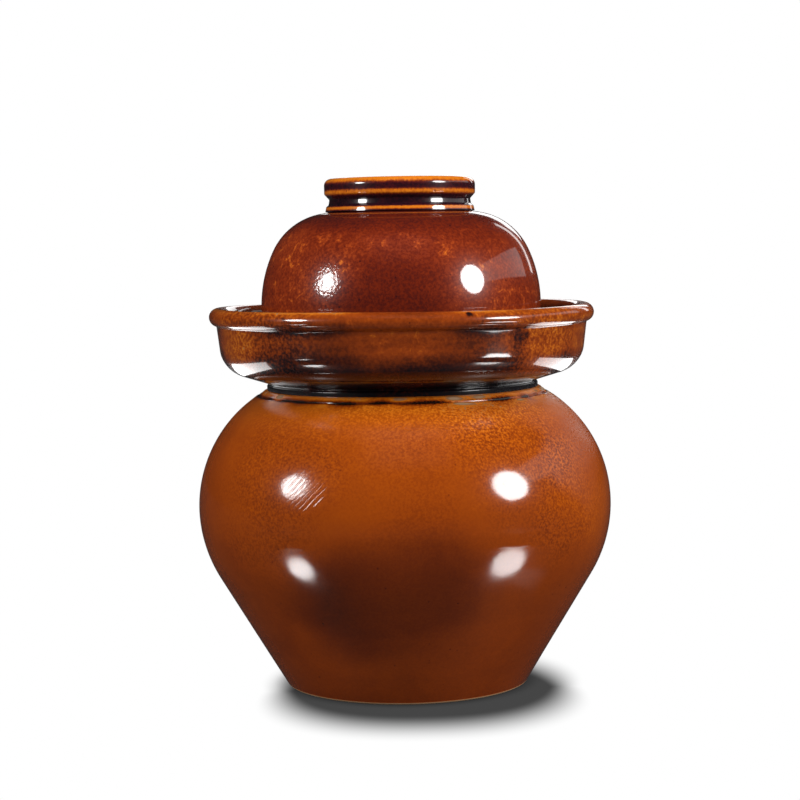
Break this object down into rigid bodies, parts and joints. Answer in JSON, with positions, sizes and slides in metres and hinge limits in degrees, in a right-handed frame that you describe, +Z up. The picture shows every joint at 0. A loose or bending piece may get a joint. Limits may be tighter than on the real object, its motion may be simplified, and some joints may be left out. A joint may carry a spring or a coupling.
{
  "type": "water seal pickle jar",
  "caption": "Pot-bellied stoneware fermentation jar with a water trough round its neck, an inverted bowl lid that stands in the trough, and a small inner lid on the mouth.",
  "frame": {"origin": "centre of the foot, on the surface that the jar stands on", "axes": "+Z up, along the axis that the jar is turned about; X and Y are alike"},
  "size_m": [0.2, 0.2, 0.2443],
  "materials": {
    "crock_glaze": "glossy amber brown glaze, darker and redder towards the foot, bare clay under the foot",
    "trough_glaze": "glossy mottled amber brown glaze, nearly black where it pools under the trough",
    "lid_glaze": "glossy mottled red-brown glaze",
    "ring_glaze": "glossy dark maroon glaze that breaks to orange on the edges",
    "inner_lid_glaze": "glossy brown glaze"
  },
  "bodies": {
    "crock": {"crock_body": "crock_glaze", "water_trough": "trough_glaze"},
    "outer_lid": {"outer_lid": "lid_glaze", "lid_grip_ring": "ring_glaze"},
    "inner_lid": {"inner_lid": "inner_lid_glaze", "inner_lid_knob": "inner_lid_glaze"}
  },
  "joints": [
    {"name": "outer_lid_lift", "type": "slide", "parent": "crock", "child": "outer_lid", "axis": [0, 0, 1], "range_m": [0, 0.18]},
    {"name": "inner_lid_lift", "type": "slide", "parent": "crock", "child": "inner_lid", "axis": [0, 0, 1], "range_m": [0, 0.072]}
  ],
  "couplings": [
    {"joint": "inner_lid_lift", "follows": "outer_lid_lift", "ratio": 0.4}
  ]
}
